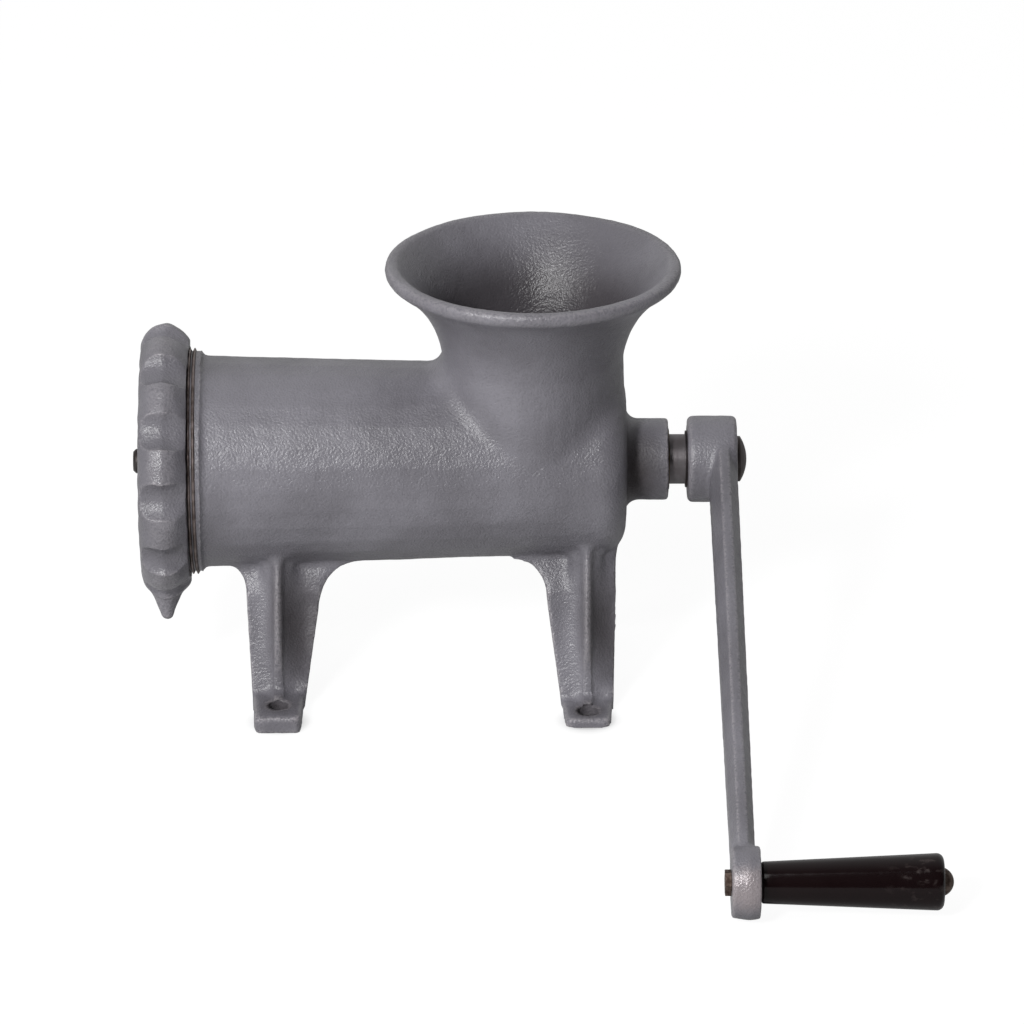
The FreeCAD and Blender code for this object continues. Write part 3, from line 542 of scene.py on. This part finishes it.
finish_node("feed_screw", screw_metal())


# Ring nut. Cast ring with scalloped lugs, threaded inside, with one long pointed lug for a hammer tap.
# It is sand cast and sprayed like the body.
LUG_ROOT_R = 53.5 * MM
LUG_HEIGHT = 9.1 * MM


def round_lugs(piece):
    """Round each lug off towards the back of the ring, as the pattern's draft does."""
    points = points_of(piece)
    up = points[:, 2] - SCREW_AXIS_Z
    radius = np.hypot(points[:, 1], up)
    front, back = points[:, 0].min(), points[:, 0].max()
    share = (points[:, 0] - front) / (back - front)
    turn = np.clip((share - 0.5) / 0.5, 0.0, 1.0)
    lost = 0.75 * (1.0 - np.sqrt(1.0 - turn ** 2))
    lower = np.clip(radius - LUG_ROOT_R, 0.0, LUG_HEIGHT) * lost
    scale = (radius - lower) / radius
    points[:, 1] *= scale
    points[:, 2] = SCREW_AXIS_Z + up * scale
    place_points(piece, points)


def lug_crests(place):
    """Mask on the outer faces of the lugs, which are made paler: painted highlight, partly paint rubbed by
    hands.
    """
    across = place.node("ShaderNodeVectorMath", {"operation": "MULTIPLY"}, {0: place, 1: (0.0, 1.0, 1.0)})
    centre = (0.0, 0.0, SCREW_AXIS_Z)
    radius = place.node("ShaderNodeVectorMath", {"operation": "DISTANCE"}, {0: across, 1: centre}, out=1)
    return 0.6 * ease(radius, 58.5 * MM, 61.5 * MM)


ring = sand_cast("ring_skin", "ring_nut", 0.7 * MM, 6)
round_lugs(ring)
pit(ring, 1.0 * MM, 7.0 * MM, 11.0)
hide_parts("ring_nut")
# Paler lug faces: painted highlight, partly paint rubbed by hands.
dress(ring, cast_paint("ring_paint", rub_and_highlight_at=lug_crests), "ring")


# Crank. Cast hub with a square eye, tapered arm of diamond section and end boss, painted grey.
# The end boss is worn down to bright iron where hands and benches have rubbed it.
handle_joint = next(j for j in frame["joints"] if j["name"] == "handle_spin")
HANDLE_AXIS = Vector(handle_joint["pos_m"])
boss_front = HANDLE_AXIS + Vector((-48.0, -14.0, 3.0)) * MM
crank = sand_cast("crank_skin", "crank_arm", 0.9 * MM, 6)
pit(crank, 0.25 * MM, 4.0 * MM, 19.0)
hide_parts("crank_arm")
dress(crank, cast_paint("crank_paint", boss_front, 22 * MM), "crank_drive")
dark_steel = bare_metal("dark_steel", (44, 40, 41), (70, 58, 52), 0.34, 0.7, TURNED_LAY)
finish_node("shaft_washer", dark_steel)
finish_node("crank_screw", bare_metal("screw_steel", (82, 75, 74), (58, 50, 47), 0.36, 0.6, TURNED_LAY))


# Handle. A reddish black moulded grip turns freely on a shoulder bolt that is nutted behind the end boss.
# The mould leaves a fine line along both sides; bolt and nut are plain steel, gone brown.
def rust(name):
    """Plain steel that has gone brown, with darker scabs."""
    material, shader, place = new_finish(name)
    scabs = grain(place, 2.2 * MM, 5.0)
    fine = grain(place, 0.6 * MM, 2.0)
    colour = tint(ease(scabs, 0.4, 0.66), linear((98, 84, 76)), linear((62, 46, 38)))
    feed(shader, "Base Color", colour)
    feed(shader, "Roughness", 0.38 + 0.35 * scabs)
    feed(shader, "Normal", relief(0.6 * scabs + 0.4 * fine, 0.2 * MM, 0.7))
    shader.inputs["Metallic"].default_value = 0.6
    return material


def grip_black():
    """Glossy reddish black moulding, scuffed whitish near its outer end."""
    material, shader, place = new_finish("grip_black")
    clouds = grain(place, 12 * MM, 3.0)
    along = place.node("ShaderNodeSeparateXYZ", {}, {"Vector": place})
    outer = ease(along, 186 * MM, 204 * MM)
    scuff_lay = (210.0, 330.0, 300.0)
    stretch = place.node("ShaderNodeVectorMath", {"operation": "MULTIPLY"}, {0: place, 1: scuff_lay})
    scratch = stretch.node("ShaderNodeTexNoise", {}, {"Vector": stretch, "Scale": 1.0, "Detail": 6.0})
    scuff = outer * ease(scratch, 0.52, 0.7) * ease(clouds, 0.36, 0.52)
    colour = tint(clouds, linear((17, 8, 9)), linear((23, 13, 14)))
    colour = tint(scuff * 0.2, colour, linear((112, 100, 98)))
    feed(shader, "Base Color", colour)
    feed(shader, "Roughness", 0.11 + 0.08 * clouds + 0.2 * scuff)
    feed(shader, "Normal", relief(grain(place, 3.0 * MM, 3.0), 0.06 * MM, 0.5))
    shader.inputs["Specular IOR Level"].default_value = 0.22
    return material


def moulded_grip():
    """Tapered grip turned about the handle axis, with a mould line along both sides."""
    low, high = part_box("handle_grip")
    start, end = low.x, high.x
    outer_r = (high.z - low.z) / 2
    inner_r = 9.0 * MM
    bore_r = 4.66 * MM
    round_r = 3.0 * MM
    edge_r = 1.0 * MM
    mould_line = 0.12 * MM
    sides = 96
    profile = [(start, bore_r)]
    for k in range(4, -1, -1):
        turn = math.radians(90 * k / 4)
        profile.append((start + edge_r * (1 - math.sin(turn)), inner_r - edge_r * (1 - math.cos(turn))))
    for k in range(1, 24):
        share = k / 24
        profile.append((start + edge_r + share * (end - start - edge_r - round_r),
                        inner_r + share * (outer_r - inner_r)))
    for k in range(9):
        turn = math.radians(90 * k / 8)
        profile.append((end - round_r + round_r * math.sin(turn), outer_r - round_r * (1 - math.cos(turn))))
    profile.append((end, bore_r))
    points = []
    for along, out in profile:
        for side in range(sides):
            angle = 2 * math.pi * side / sides
            line = math.exp(-((math.sin(angle) / 0.05) ** 2)) * mould_line
            sunk = line - mould_line if out > bore_r else 0.0
            reach = min(out + sunk, outer_r)
            points.append((along, HANDLE_AXIS.y + reach * math.cos(angle),
                           HANDLE_AXIS.z + reach * math.sin(angle)))
    faces = []
    rows = len(profile)
    for row in range(rows):
        for side in range(sides):
            after = (side + 1) % sides
            below = (row + 1) % rows
            faces.append((row * sides + side, row * sides + after,
                          below * sides + after, below * sides + side))
    return mesh_piece("grip_moulding", points, faces)


grip = moulded_grip()
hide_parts("handle_grip")
dress(grip, grip_black(), "grip")
rusty = rust("rusty_steel")
finish_node("handle_bolt", rusty)
finish_node("handle_nut", rusty)


# Studio. A pale sheet under the grinder, white walls behind and above it, and a dim room at the front.
# A soft lamp stands well left of the camera, a small one beside it, and a weak one hangs above.
VIEW_AZIMUTH = -0.6
VIEW_ELEVATION = 23.2
VIEW_DISTANCE = 3.0
VIEW_TARGET = Vector((36.0, 0.0, 77.7)) * MM
LENS = 233.4

FLOOR_HALF = 6.0
FLOOR_Z = -0.2 * MM
corners = [(x * FLOOR_HALF, y * FLOOR_HALF, FLOOR_Z) for x, y in ((-1, -1), (1, -1), (1, 1), (-1, 1))]
floor = mesh_piece("floor", corners, [(0, 1, 2, 3)])
floor_paper = bpy.data.materials.new("floor_paper")
floor_paper.use_nodes = True
tree = floor_paper.node_tree
tree.nodes.clear()
rays = tree.nodes.new("ShaderNodeLightPath")
seen = Wire(tree, rays.outputs["Is Camera Ray"])
paper = seen.node("ShaderNodeBsdfDiffuse", {}, {"Color": (0.62, 0.62, 0.62, 1.0)})
glow = seen.node("ShaderNodeEmission", {}, {"Color": (1.0, 1.0, 1.0, 1.0), "Strength": 1.17})
place = seen.node("ShaderNodeTexCoord", {}, {}, out=3)
feet = [nearness(place, (x, y, 0.0), 17 * MM) for x in (-LEG_X, LEG_X) for y in (-BOLT_Y, BOLT_Y)]
under_feet = feet[0] + feet[1] + feet[2] + feet[3]
sheet = seen.node("ShaderNodeMixShader", {}, {0: 0.8 * seen * (1 - under_feet), 1: paper, 2: glow})
surface = tree.nodes.new("ShaderNodeOutputMaterial")
tree.links.new(sheet.socket, surface.inputs["Surface"])
floor.data.materials.append(floor_paper)

world = bpy.data.worlds.new("white_studio")
bpy.context.scene.world = world
world.use_nodes = True
tree = world.node_tree
tree.nodes.clear()
rays = tree.nodes.new("ShaderNodeLightPath")
seen = Wire(tree, rays.outputs["Is Camera Ray"])
toward = seen.node("ShaderNodeTexCoord", {}, {})
ahead = seen.node("ShaderNodeSeparateXYZ", {}, {"Vector": toward}, out=1)
above = seen.node("ShaderNodeSeparateXYZ", {}, {"Vector": toward}, out=2)
room = tint(ease(ahead + 0.35 * above, -0.1, 0.9), (0.045, 0.045, 0.045, 1.0), (0.6, 0.6, 0.6, 1.0))
backdrop = tint(seen, room, (1.0, 1.0, 1.0, 1.0))
glow = seen.node("ShaderNodeBackground", {}, {"Color": backdrop, "Strength": 1.0})
surface = tree.nodes.new("ShaderNodeOutputWorld")
tree.links.new(glow.socket, surface.inputs["Surface"])


def lamp(name, place, size, watts):
    """Square soft lamp that points at the grinder."""
    light = bpy.data.lights.new(name, "AREA")
    light.size = size
    light.energy = watts
    holder = bpy.data.objects.new(name, light)
    holder.location = place
    holder.rotation_euler = (VIEW_TARGET - Vector(place)).to_track_quat("-Z", "Y").to_euler()
    bpy.context.scene.collection.objects.link(holder)


lamp("lamp_left", (-1.6, -1.4, 0.9), 0.5, 13)
lamp("lamp_by_camera", (-0.8, -1.9, 1.3), 0.32, 32)
lamp("lamp_above", (-0.5, -1.2, 1.9), 0.9, 9)

turn = math.radians(VIEW_AZIMUTH)
tilt = math.radians(VIEW_ELEVATION)
back = Vector((math.sin(turn) * math.cos(tilt), -math.cos(turn) * math.cos(tilt), math.sin(tilt)))
camera = bpy.data.objects.new("camera", bpy.data.cameras.new("camera"))
camera.data.lens = LENS
camera.data.sensor_width = 36.0
camera.location = VIEW_TARGET + back * VIEW_DISTANCE
camera.rotation_euler = (-back).to_track_quat("-Z", "Y").to_euler()
bpy.context.scene.collection.objects.link(camera)
bpy.context.scene.camera = camera
bpy.context.scene.view_settings.view_transform = "Standard"
